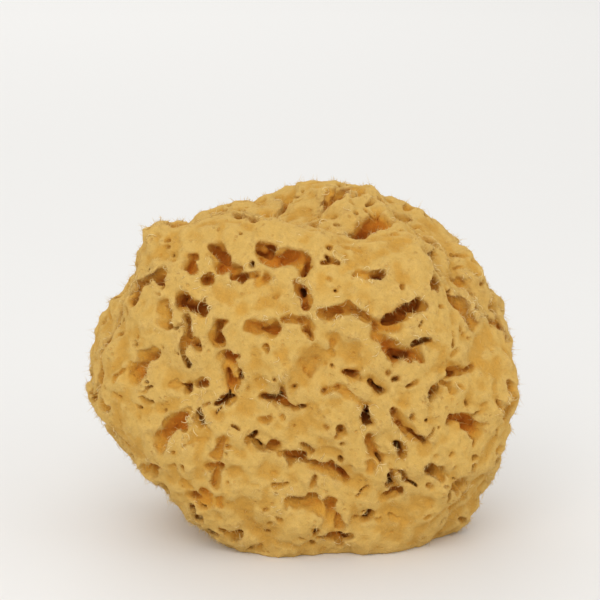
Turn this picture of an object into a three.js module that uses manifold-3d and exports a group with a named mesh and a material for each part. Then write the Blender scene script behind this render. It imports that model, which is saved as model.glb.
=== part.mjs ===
// A natural bath sponge: one grown piece, upright on a flat trimmed base.
// Millimetres, +Z up, origin at the middle of the base. The broad face, which grew pressed flat
// and is seen in the photograph, looks toward -Y, and +X is the viewer's right.
import * as THREE from "three";
import { SimplifyModifier } from "three/addons/modifiers/SimplifyModifier.js";
import { mergeVertices } from "three/addons/utils/BufferGeometryUtils.js";
import Module from "manifold-3d";

// The plain rounded block under the swells and lobes, which bring the whole sponge to about
// 114 by 72 by 92. Its centre stands above the base, and the two exponents say how full its
// outline is (2 is an ellipse) and how flat its broad faces are.
const WIDTH = 106;
const DEPTH = 68;
const HEIGHT = 90;
const CENTRE_HEIGHT = 41;
const OUTLINE_FULLNESS = 2.35;
const FACE_FLATNESS = 3.3;

// The lower left of the outline is drawn in toward the base.
const DRAWN_IN = 0.2;
const DRAWN_IN_BELOW = 34;

// Broad swells all over: [crest spacing, height] in mm, coarse to fine.
const SWELLS = [
  [58, 4.6],
  [31, 3],
  [15, 1.3],
  [8, 0.5],
];
// The broad face grew pressed flat: the swells on it are lower by this share, fully so beyond
// the second of two shares of the depth in front of the centre.
const PRESSED = 0.65;
const PRESSED_BETWEEN = [0.2, 0.42];

// Lobes of the broad face: [x, z, half width, half height, rise] in mm.
const LOBES = [
  [-2.7, 8.6, 7, 5, 3.4],
  [28.8, 40.5, 4, 7, 2.4],
  [25.4, 61.2, 5, 3.5, 2.2],
  [9, 73.9, 8, 4, 1.6],
  [-19.3, 65.6, 6, 4, 1.4],
  [-8, 53.8, 5, 6, 1.5],
  [8, 46.8, 8, 6, 1.2],
  [-18.4, 35.5, 5, 5, 1.8],
  [3.1, 35.4, 7, 4, 1.4],
  [-14.8, 17.4, 8, 6, 1.5],
  [16.1, 21.8, 6, 6, 1.4],
  [27.2, 26.4, 3.5, 5, 1.6],
];

// Pores and channels of the broad face. Each is a furrow with round ends:
// [x, z] of one end, [x, z] of the other, the half width at each end, and the depth.
const FACE_PORES = [
  // Top left: the hollow, its shelf and the chain of dimples that leads right.
  [-23.4, 80.7, -20.7, 79.6, 1.9, 1.6, 7.5],
  [-22.6, 77.6, -17.3, 77.5, 1.6, 1.2, 3.5],
  [-17.9, 75.7, -16.4, 75.3, 1.4, 1.3, 6.5],
  [-15.4, 75.8, -12.9, 75.7, 1.3, 1.2, 3],
  [-11.9, 73.9, -9.9, 75.5, 1.1, 1.2, 2.6],
  [-30.1, 68.4, -25, 66.3, 1.4, 1.3, 7.5],
  [-25.5, 74.8, -25, 74, 1.1, 1.1, 4.5],
  [-28.6, 78.7, -29.1, 75.9, 1.3, 1.4, 4.5],
  // Top middle: the wide hollow with a deep right end, and the upright hole under it.
  [-11.2, 82.8, -8.7, 82.6, 1.6, 1.6, 7],
  [-10.3, 80.6, -1.5, 80, 2.1, 2.4, 4.2],
  [0, 80.3, -1, 76.8, 1.3, 1, 5.5],
  [-1.2, 73.1, -1, 71.7, 1.1, 1, 9.5],
  [-0.8, 70.2, -0.5, 68.2, 1, 0.9, 4.5],
  // Top right: the hole with a shelf beside it, and the ragged gash at the right edge.
  [17.2, 75.5, 18.7, 75.5, 1.6, 1.6, 6.5],
  [13, 76.7, 15.5, 76.6, 1.2, 1.2, 3],
  [20, 64.5, 22.9, 65.8, 1, 1.6, 8.5],
  [22.9, 65.8, 29.4, 68, 1.6, 1.7, 8.5],
  [17, 63.1, 22.2, 62.6, 1.2, 1, 4.5],
  // The bow-shaped channel from the middle down to the hole at the right.
  [4, 66.2, 8.5, 67, 1.6, 1.1, 3.4],
  [10, 67.6, 16.6, 64.6, 1, 1.4, 3.6],
  [17.1, 64.1, 16.4, 61.1, 1.6, 1.6, 3.6],
  [16.9, 60.6, 19.5, 58.1, 1.3, 1.5, 4.2],
  [19.5, 57.6, 22.4, 55.1, 1.5, 1.8, 4.8],
  [23.4, 55.5, 25.6, 55, 1.8, 1.8, 8.5],
  [27, 58.6, 30.9, 58.4, 0.9, 1.1, 5.5],
  // Left: the oval, the almond hollow, the long hollow and the slanting slot at its foot.
  [-21.2, 62.8, -22.3, 58.7, 1.1, 1.2, 4.2],
  [-14.4, 63.2, -8.1, 62.5, 1.3, 2, 3.2],
  [-19.9, 54.4, -19.4, 48.3, 1.9, 2.1, 4.6],
  [-21, 45.2, -18.9, 44.8, 1.2, 1.1, 8.5],
  [-20.5, 44.2, -23.6, 42.6, 1.3, 1, 7],
  [-28.4, 47.5, -26.2, 48.6, 1, 1, 3.2],
  [-30.1, 56.8, -30.7, 53.5, 1, 1, 5.5],
  [-31.5, 46.3, -31, 45.8, 1, 1, 5],
  [-28.1, 39.4, -27, 37.5, 1.2, 0.9, 6.5],
  // Middle: the lying hole with a chimney above it, the pores to its right, the faint dip.
  [-10.6, 44.4, -7.7, 43.9, 1, 1.4, 7.5],
  [-7.2, 43.9, -5.6, 43.3, 1.3, 1.1, 6.2],
  [-5.6, 44.9, -5.6, 48.1, 1.1, 0.9, 3.2],
  [-1, 42.4, 0, 42.9, 0.9, 0.9, 6.5],
  [10.6, 52.1, 13, 50.6, 0.8, 0.8, 5.5],
  [0, 53.6, 0.5, 53.1, 1.9, 1.8, 1.9],
  [15.9, 49.5, 16.4, 48.5, 0.9, 0.9, 6.5],
  [18.3, 47.5, 18.8, 47, 1.2, 1.2, 8.5],
  [15.4, 41, 16, 38.5, 1.3, 1.4, 10],
  // Right: the furrow under the dark well, the wedge along the pale lobe, the lidded pore.
  [16.2, 34.2, 17.1, 30.3, 1.2, 1.4, 2.6],
  [18.1, 29.3, 19.1, 27.8, 1.1, 0.9, 3.2],
  [19.1, 28.3, 19.2, 26.7, 0.8, 0.8, 5.5],
  [22.4, 41.4, 24.2, 38.8, 1.2, 1.1, 3.6],
  [24.2, 38.3, 26.7, 35.9, 0.9, 0.8, 4.2],
  [26.7, 35.4, 30.4, 33, 0.8, 0.8, 5.2],
  [22.6, 32.8, 23.6, 31.3, 1.1, 1.1, 7.5],
  [23.6, 31.3, 24.6, 29.3, 1, 1, 8.5],
  [22.3, 22.9, 22.5, 20.4, 1.1, 1.5, 9.5],
  [21.3, 16.7, 25.2, 18, 0.9, 1, 4.8],
  [17, 12.2, 15.7, 10, 1.1, 1, 8.5],
  [9.2, 36.9, 9.5, 35.8, 0.8, 0.8, 4.2],
  // Lower middle: the row of pits that steps down to the right, the shelf and its pore.
  [-14.3, 34.3, -12.8, 35.2, 1, 1, 7.5],
  [-12.3, 32.5, -10.8, 31, 0.8, 0.8, 7.5],
  [-8.2, 31, -7.2, 31, 1.3, 1.3, 4.8],
  [-0.5, 31.6, 0, 30.3, 1.1, 1.1, 4.4],
  [-4.7, 28.3, -1, 28.1, 1, 1, 6.5],
  [2.2, 25.9, 7.5, 24.8, 1.2, 1.3, 3],
  [8.6, 24.3, 10.2, 22.7, 1, 1, 4.8],
  // Lower left: the run with the forked head, and the wide hollow with its floor.
  [-20.7, 34, -22.3, 29.8, 1.4, 1.4, 2.6],
  [-24.6, 26.6, -22.1, 26.7, 1.4, 1.3, 4.4],
  [-23.5, 24.6, -24.5, 21.7, 1.3, 1.3, 3.4],
  [-28.2, 20.6, -26.8, 19.3, 1.2, 1.4, 4.8],
  [-32.2, 17.7, -26.3, 17.2, 1.3, 1.7, 4.4],
  [-32.9, 13.7, -33.2, 9.9, 1.4, 1.1, 7.5],
  [-25.7, 7.4, -21.9, 5.6, 1, 1.5, 6.8],
  // Bottom: the mouth under the pale lip, the hollow to its right and the pit below that.
  [-5.1, 16.2, -3.9, 15.7, 1.2, 1.2, 8],
  [-2.9, 16.2, 2.2, 16.5, 1.3, 1, 4.8],
  [-2.9, 14.4, 3.7, 14.8, 0.9, 1.2, 2.8],
  [6.3, 15.8, 7.9, 8.7, 1.9, 2.1, 3.2],
  [7.3, 5.3, 10.6, 4.6, 1.1, 1.2, 7.5],
  [4.2, 6.2, 6.8, 5.5, 1.3, 1.5, 4.4],
];
// The coarse solid's furrows are cut a little wider than they measure.
const FACE_PORE_WIDENING = 1.1;
// The part of the broad face that the listed pores cover: half width, lowest and highest point,
// and how far forward of the centre it begins.
const LISTED_HALF_WIDTH = 31;
const LISTED_FROM = 6;
const LISTED_TO = 87;
const LISTED_IN_FRONT_OF = DEPTH / 5;

// Furrows everywhere else: how many starts, how many bends each, and the least and most of each
// size in mm. Small ones are commoner than large ones.
const OTHER_FURROWS = 130;
const OTHER_BENDS = 2;
const OTHER_HALF_WIDTH = [1.3, 3.6];
const OTHER_STEP = [2, 8];
const OTHER_DEPTH = [3, 9];
const CLEAR_OF_BASE = 5;
// The most that such a furrow turns at a bend, in radians, and how it narrows or widens there.
const OTHER_TURN = 0.9;
const OTHER_TAPER = [0.6, 1.05];

// A furrow's wall falls between these two shares of its half width.
const WALL_FROM = 0.5;
const WALL_TO = 1.2;
// A furrow runs into the body and a little upward, so its upper rim overhangs.
const FURROW_LIFT = 0.3;

// Facets of the sphere that the body is shaped from, and the triangles that are kept in the end.
const SPHERE_DETAIL = 90;
const KEPT_TRIANGLES = 9700;

const GOLDEN_ANGLE = Math.PI * (3 - Math.sqrt(5));
// Turns a direction of a ball into one that spreads evenly over the block.
const STRETCH = new THREE.Vector3(WIDTH, DEPTH, HEIGHT);

const wasm = await Module();
wasm.setup();

// A repeatable number from 0 to 1 for a whole number.
function chance(n) {
  const s = Math.sin(n * 12.9898 + 4.1414) * 43758.5453;
  return s - Math.floor(s);
}

// A value between the two ends of a range, picked by a number from 0 to 1.
function within([low, high], share) {
  return low + (high - low) * share;
}

// A waving field from -1 to 1 with its crests a given distance apart.
function wave(p, spacing) {
  const k = (2 * Math.PI) / spacing;
  const a = Math.sin(k * (p.x + 0.6 * p.y) + 1.7 * Math.sin(k * 0.5 * p.z + 1));
  const b = Math.sin(k * (p.z - 0.5 * p.y) + 1.5 * Math.sin(k * 0.6 * p.x + 4));
  const c = Math.sin(k * (p.y + 0.4 * p.x) + 1.3 * Math.sin(k * 0.5 * p.z + 2));
  return (a + b + c) / 3;
}

// The block's point in a direction from its centre, which is the zero of this frame.
function blockPoint(direction) {
  const x = Math.abs(direction.x) / (WIDTH / 2);
  const y = Math.abs(direction.y) / (DEPTH / 2);
  const z = Math.abs(direction.z) / (HEIGHT - CENTRE_HEIGHT);
  const outline = Math.pow(x, OUTLINE_FULLNESS) + Math.pow(z, OUTLINE_FULLNESS);
  const whole = Math.pow(outline, FACE_FLATNESS / OUTLINE_FULLNESS) + Math.pow(y, FACE_FLATNESS);
  return direction.clone().multiplyScalar(Math.pow(whole, -1 / FACE_FLATNESS));
}

// The block's point on the broad face at a distance to the right and a height above the base.
function facePoint(x, z) {
  const across = Math.pow(Math.abs(x) / (WIDTH / 2), OUTLINE_FULLNESS);
  const up = Math.pow(Math.abs(z - CENTRE_HEIGHT) / (HEIGHT - CENTRE_HEIGHT), OUTLINE_FULLNESS);
  const share = 1 - Math.pow(Math.min(across + up, 1), FACE_FLATNESS / OUTLINE_FULLNESS);
  return new THREE.Vector3(x, (-DEPTH / 2) * Math.pow(share, 1 / FACE_FLATNESS), z - CENTRE_HEIGHT);
}

// How far the swells lift the block at a point of it.
function swellRise(p) {
  const [from, to] = PRESSED_BETWEEN;
  const pressed = PRESSED * THREE.MathUtils.smoothstep(-p.y, from * DEPTH, to * DEPTH);
  let rise = 0;
  for (const [spacing, height] of SWELLS) rise += height * wave(p, spacing);
  return rise * (1 - pressed);
}

// How far the lobes lift the broad face at a point of it.
function lobeRise(p) {
  let rise = 0;
  for (const [x, z, halfWidth, halfHeight, height] of LOBES) {
    const u = (p.x - x) / halfWidth;
    const v = (p.z + CENTRE_HEIGHT - z) / halfHeight;
    rise += height * Math.exp(-(u * u + v * v));
  }
  return rise;
}

// The listed furrows, on the broad face of the block.
function faceFurrows() {
  return FACE_PORES.map(([x1, z1, x2, z2, halfWidthA, halfWidthB, depth]) => ({
    from: facePoint(x1, z1),
    to: facePoint(x2, z2),
    halfWidthA: FACE_PORE_WIDENING * halfWidthA,
    halfWidthB: FACE_PORE_WIDENING * halfWidthB,
    depth,
  }));
}

// Whether a point lies on the part of the broad face that the list covers.
function isListed(p) {
  const z = p.z + CENTRE_HEIGHT;
  return p.y < -LISTED_IN_FRONT_OF && Math.abs(p.x) < LISTED_HALF_WIDTH && z > LISTED_FROM && z < LISTED_TO;
}

// Bent furrows spread evenly over the rest, each turned and sized by its own number.
function otherFurrows() {
  const furrows = [];
  for (let n = 0; n < OTHER_FURROWS; n += 1) {
    const height = 1 - (2 * (n + 0.5)) / OTHER_FURROWS;
    const ring = Math.sqrt(1 - height * height);
    const turn = n * GOLDEN_ANGLE;
    const outward = new THREE.Vector3(ring * Math.cos(turn), ring * Math.sin(turn), height).multiply(STRETCH);
    const size = chance(3 * n + 1);
    const depth = within(OTHER_DEPTH, size);
    let heading = 2 * Math.PI * chance(7 * n + 5);
    let halfWidth = within(OTHER_HALF_WIDTH, size * size * size);
    let from = blockPoint(outward.normalize());
    for (let bend = 0; bend < OTHER_BENDS; bend += 1) {
      heading += within([-OTHER_TURN, OTHER_TURN], chance(11 * n + bend));
      const step = within(OTHER_STEP, chance(13 * n + bend));
      const radial = from.clone().normalize();
      const east = new THREE.Vector3(-radial.y, radial.x, 0).normalize();
      const north = new THREE.Vector3().crossVectors(radial, east);
      const ahead = from.clone();
      ahead.addScaledVector(east, step * Math.cos(heading)).addScaledVector(north, step * Math.sin(heading));
      const to = blockPoint(ahead.normalize());
      const nextHalfWidth = halfWidth * within(OTHER_TAPER, chance(17 * n + bend));
      const low = Math.min(from.z, to.z) + CENTRE_HEIGHT - halfWidth;
      if (low > CLEAR_OF_BASE && !isListed(from) && !isListed(to)) {
        furrows.push({ from, to, halfWidthA: halfWidth, halfWidthB: nextHalfWidth, depth });
      }
      from = to;
      halfWidth = nextHalfWidth;
    }
  }
  return furrows;
}

// How deep a point of the block lies in the deepest furrow that it belongs to.
function furrowDepth(p, furrows) {
  let deepest = 0;
  for (const { from, to, halfWidthA, halfWidthB, depth } of furrows) {
    const reach = WALL_TO * Math.max(halfWidthA, halfWidthB);
    const dx = to.x - from.x;
    const dy = to.y - from.y;
    const dz = to.z - from.z;
    const long = dx * dx + dy * dy + dz * dz;
    const ahead = ((p.x - from.x) * dx + (p.y - from.y) * dy + (p.z - from.z) * dz) / Math.max(long, 1e-6);
    const t = Math.min(Math.max(ahead, 0), 1);
    const away = Math.hypot(p.x - from.x - t * dx, p.y - from.y - t * dy, p.z - from.z - t * dz);
    if (away > reach) continue;
    const share = away / (halfWidthA + t * (halfWidthB - halfWidthA));
    deepest = Math.max(deepest, depth * (1 - THREE.MathUtils.smoothstep(share, WALL_FROM, WALL_TO)));
  }
  return deepest;
}

// The body before it is trimmed: the block with its swells, lobes and furrows, as a closed
// geometry whose sides are centred over the origin.
function bodyGeometry() {
  const sphere = new THREE.IcosahedronGeometry(1, SPHERE_DETAIL);
  sphere.deleteAttribute("normal");
  sphere.deleteAttribute("uv");
  const geometry = mergeVertices(sphere);
  const place = geometry.attributes.position;
  const furrows = [...faceFurrows(), ...otherFurrows()];
  const up = new THREE.Vector3(0, 0, 1);
  for (let i = 0; i < place.count; i += 1) {
    const direction = new THREE.Vector3().fromBufferAttribute(place, i).multiply(STRETCH).normalize();
    const smooth = blockPoint(direction);
    const depth = furrowDepth(smooth, furrows);
    const moved = smooth.clone().addScaledVector(direction, swellRise(smooth) - depth);
    moved.addScaledVector(up, FURROW_LIFT * depth * (1 - Math.abs(direction.z)));
    if (smooth.y < 0) moved.y -= lobeRise(smooth);
    const low = THREE.MathUtils.smoothstep(DRAWN_IN_BELOW - CENTRE_HEIGHT - moved.z, 0, DRAWN_IN_BELOW);
    if (moved.x < 0) moved.x *= 1 - DRAWN_IN * low;
    place.setXYZ(i, moved.x, moved.y, moved.z);
  }
  geometry.computeBoundingBox();
  const middle = geometry.boundingBox.getCenter(new THREE.Vector3());
  return geometry.translate(-middle.x, -middle.y, CENTRE_HEIGHT);
}

// The geometry with only so many triangles left, spent where the surface bends most.
async function thinned(geometry, triangles) {
  const share = 1 - triangles / (geometry.index.count / 3);
  return new SimplifyModifier().modify(geometry, Math.round(geometry.attributes.position.count * share));
}

// A closed geometry as a solid.
function solidOf(geometry) {
  const bare = geometry.clone();
  bare.deleteAttribute("normal");
  bare.deleteAttribute("uv");
  const merged = mergeVertices(bare, 1e-4);
  return new wasm.Manifold(
    new wasm.Mesh({
      numProp: 3,
      vertProperties: merged.attributes.position.array,
      triVerts: new Uint32Array(merged.index.array),
    }),
  );
}

// A solid as a geometry that a mesh can hold.
function geometryOf(solid) {
  const { vertProperties, triVerts } = solid.getMesh();
  const geometry = new THREE.BufferGeometry();
  geometry.setAttribute("position", new THREE.BufferAttribute(new Float32Array(vertProperties), 3));
  geometry.setIndex(new THREE.BufferAttribute(new Uint32Array(triVerts), 1));
  geometry.computeVertexNormals();
  return geometry;
}

// The whole sponge: the body with everything below the base cut away.
async function spongeGeometry() {
  const body = solidOf(await thinned(bodyGeometry(), KEPT_TRIANGLES));
  const belowBase = new THREE.BoxGeometry(2 * WIDTH, 2 * DEPTH, HEIGHT).translate(0, 0, -HEIGHT / 2);
  return geometryOf(body.subtract(solidOf(belowBase)));
}

const spongeYellow = new THREE.MeshStandardMaterial({
  name: "dry sponge",
  color: new THREE.Color().setRGB(0.82, 0.65, 0.35, THREE.SRGBColorSpace),
  roughness: 0.95,
  metalness: 0,
});

const sponge = new THREE.Mesh(await spongeGeometry(), spongeYellow);
sponge.name = "sea_sponge";

const object = new THREE.Group();
object.add(sponge);

export default object;
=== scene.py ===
"""A dry natural bath sponge, standing on its trimmed base in a plain pale studio."""

import logging
import math
from dataclasses import dataclass, field
from enum import Enum

import bpy
import numpy as np
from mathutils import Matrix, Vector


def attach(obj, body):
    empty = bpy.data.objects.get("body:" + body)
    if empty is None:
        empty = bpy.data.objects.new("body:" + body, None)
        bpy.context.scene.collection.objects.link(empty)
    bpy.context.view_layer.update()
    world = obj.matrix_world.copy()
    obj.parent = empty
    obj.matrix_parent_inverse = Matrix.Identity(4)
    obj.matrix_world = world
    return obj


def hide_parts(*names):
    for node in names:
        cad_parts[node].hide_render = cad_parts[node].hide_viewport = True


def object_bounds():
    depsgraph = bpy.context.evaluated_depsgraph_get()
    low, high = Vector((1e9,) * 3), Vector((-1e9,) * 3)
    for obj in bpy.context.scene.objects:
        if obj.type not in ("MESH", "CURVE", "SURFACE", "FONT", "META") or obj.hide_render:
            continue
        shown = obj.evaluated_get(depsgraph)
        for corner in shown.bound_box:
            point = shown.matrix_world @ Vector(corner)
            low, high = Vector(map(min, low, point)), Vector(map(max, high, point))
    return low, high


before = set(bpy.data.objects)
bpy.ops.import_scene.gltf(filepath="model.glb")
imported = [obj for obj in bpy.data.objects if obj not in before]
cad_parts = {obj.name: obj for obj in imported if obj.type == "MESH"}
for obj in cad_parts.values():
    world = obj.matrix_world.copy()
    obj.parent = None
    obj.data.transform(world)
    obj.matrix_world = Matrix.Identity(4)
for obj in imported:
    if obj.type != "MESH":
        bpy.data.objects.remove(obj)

import openvdb
from mathutils import Vector

CAD_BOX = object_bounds()
NODE = "sea_sponge"
BODY = "root"
MM = 0.001
GOLDEN_ANGLE = math.pi * (3 - math.sqrt(5))
LOG = logging.getLogger("sponge")

Array = np.ndarray
Random = np.random.Generator
Socket = bpy.types.NodeSocket
Span = tuple[float, float]
Colour = tuple[float, float, float, float]

# The skin in front of this y, in mm, counts as the front.
FRONT_Y = -8

# Nearly all of a shader's noise lies between these values.
NOISE_RANGE = (0.3, 0.7)

# Furrows of the broad face that the solid has too; those of its two ragged gashes are wider here.
# One end's x and z, the other end's x and z, the half width at each end, and the depth, in mm.
FACE_FURROWS = [
    # Top left: the hollow, its shelf and the chain of dimples that leads right.
    (-23.4, 80.7, -20.7, 79.6, 1.9, 1.6, 7.5),
    (-22.6, 77.6, -17.3, 77.5, 1.6, 1.2, 3.5),
    (-17.9, 75.7, -16.4, 75.3, 1.4, 1.3, 6.5),
    (-15.4, 75.8, -12.9, 75.7, 1.3, 1.2, 3),
    (-11.9, 73.9, -9.9, 75.5, 1.1, 1.2, 2.6),
    (-30.1, 68.4, -25, 66.3, 1.8, 1.6, 7.5),
    (-25.5, 74.8, -25, 74, 1.1, 1.1, 4.5),
    (-28.6, 78.7, -29.1, 75.9, 1.3, 1.4, 4.5),
    # Top middle: the wide hollow with a deep right end, and the upright hole under it.
    (-11.2, 82.8, -8.7, 82.6, 1.6, 1.6, 7),
    (-10.3, 80.6, -1.5, 80, 2.1, 2.4, 4.2),
    (0, 80.3, -1, 76.8, 1.3, 1, 5.5),
    (-1.2, 73.1, -1, 71.7, 1.1, 1, 9.5),
    (-0.8, 70.2, -0.5, 68.2, 1, 0.9, 4.5),
    # Top right: the hole with a shelf beside it, and the ragged gash at the right edge.
    (17.2, 75.5, 18.7, 75.5, 1.6, 1.6, 6.5),
    (13, 76.7, 15.5, 76.6, 1.2, 1.2, 3),
    (20, 64.5, 22.9, 65.8, 1.3, 2, 8.5),
    (22.9, 65.8, 29.4, 68, 2, 2.2, 8.5),
    (17, 63.1, 22.2, 62.6, 1.2, 1, 4.5),
    # The bow-shaped channel from the middle down to the hole at the right.
    (4, 66.2, 8.5, 67, 1.6, 1.1, 3.4),
    (10, 67.6, 16.6, 64.6, 1, 1.4, 3.6),
    (17.1, 64.1, 16.4, 61.1, 1.6, 1.6, 3.6),
    (16.9, 60.6, 19.5, 58.1, 1.3, 1.5, 4.2),
    (19.5, 57.6, 22.4, 55.1, 1.5, 1.8, 4.8),
    (23.4, 55.5, 25.6, 55, 1.8, 1.8, 8.5),
    (27, 58.6, 30.9, 58.4, 0.9, 1.1, 5.5),
    # Left: the oval, the almond hollow, the long hollow and the slanting slot at its foot.
    (-21.2, 62.8, -22.3, 58.7, 1.1, 1.2, 4.2),
    (-14.4, 63.2, -8.1, 62.5, 1.3, 2, 3.2),
    (-19.9, 54.4, -19.4, 48.3, 1.9, 2.1, 4.6),
    (-21, 45.2, -18.9, 44.8, 1.2, 1.1, 8.5),
    (-20.5, 44.2, -23.6, 42.6, 1.3, 1, 7),
    (-28.4, 47.5, -26.2, 48.6, 1, 1, 3.2),
    (-30.1, 56.8, -30.7, 53.5, 1, 1, 5.5),
    (-31.5, 46.3, -31, 45.8, 1, 1, 5),
    (-28.1, 39.4, -27, 37.5, 1.2, 0.9, 6.5),
    # Middle: the lying hole with a chimney above it, the pores to its right, the faint dip.
    (-10.6, 44.4, -7.7, 43.9, 1, 1.4, 7.5),
    (-7.2, 43.9, -5.6, 43.3, 1.3, 1.1, 6.2),
    (-5.6, 44.9, -5.6, 48.1, 1.1, 0.9, 3.2),
    (-1, 42.4, 0, 42.9, 0.9, 0.9, 6.5),
    (10.6, 52.1, 13, 50.6, 0.8, 0.8, 5.5),
    (0, 53.6, 0.5, 53.1, 1.9, 1.8, 1.9),
    (15.9, 49.5, 16.4, 48.5, 0.9, 0.9, 6.5),
    (18.3, 47.5, 18.8, 47, 1.2, 1.2, 8.5),
    (15.4, 41, 16, 38.5, 1.3, 1.4, 10),
    # Right: the furrow under the dark well, the wedge along the pale lobe, the lidded pore.
    (16.2, 34.2, 17.1, 30.3, 1.2, 1.4, 2.6),
    (18.1, 29.3, 19.1, 27.8, 1.1, 0.9, 3.2),
    (19.1, 28.3, 19.2, 26.7, 0.8, 0.8, 5.5),
    (22.4, 41.4, 24.2, 38.8, 1.2, 1.1, 3.6),
    (24.2, 38.3, 26.7, 35.9, 0.9, 0.8, 4.2),
    (26.7, 35.4, 30.4, 33, 0.8, 0.8, 5.2),
    (22.6, 32.8, 23.6, 31.3, 1.1, 1.1, 7.5),
    (23.6, 31.3, 24.6, 29.3, 1, 1, 8.5),
    (22.3, 22.9, 22.5, 20.4, 1.1, 1.5, 9.5),
    (21.3, 16.7, 25.2, 18, 0.9, 1, 4.8),
    (17, 12.2, 15.7, 10, 1.1, 1, 8.5),
    (9.2, 36.9, 9.5, 35.8, 0.8, 0.8, 4.2),
    # Lower middle: the row of pits that steps down to the right, the shelf and its pore.
    (-14.3, 34.3, -12.8, 35.2, 1, 1, 7.5),
    (-12.3, 32.5, -10.8, 31, 0.8, 0.8, 7.5),
    (-8.2, 31, -7.2, 31, 1.3, 1.3, 4.8),
    (-0.5, 31.6, 0, 30.3, 1.1, 1.1, 4.4),
    (-4.7, 28.3, -1, 28.1, 1, 1, 6.5),
    (2.2, 25.9, 7.5, 24.8, 1.2, 1.3, 3),
    (8.6, 24.3, 10.2, 22.7, 1, 1, 4.8),
    # Lower left: the run with the forked head, and the wide hollow with its floor.
    (-20.7, 34, -22.3, 29.8, 1.4, 1.4, 2.6),
    (-24.6, 26.6, -22.1, 26.7, 1.4, 1.3, 4.4),
    (-23.5, 24.6, -24.5, 21.7, 1.3, 1.3, 3.4),
    (-28.2, 20.6, -26.8, 19.3, 1.2, 1.4, 4.8),
    (-32.2, 17.7, -26.3, 17.2, 1.3, 1.7, 4.4),
    (-32.9, 13.7, -33.2, 9.9, 1.4, 1.1, 7.5),
    (-25.7, 7.4, -21.9, 5.6, 1, 1.5, 6.8),
    # Bottom: the mouth under the pale lip, the hollow to its right and the pit below that.
    (-5.1, 16.2, -3.9, 15.7, 1.2, 1.2, 8),
    (-2.9, 16.2, 2.2, 16.5, 1.3, 1, 4.8),
    (-2.9, 14.4, 3.7, 14.8, 0.9, 1.2, 2.8),
    (6.3, 15.8, 7.9, 8.7, 1.9, 2.1, 3.2),
    (7.3, 5.3, 10.6, 4.6, 1.1, 1.2, 7.5),
    (4.2, 6.2, 6.8, 5.5, 1.3, 1.5, 4.4),
]

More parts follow.
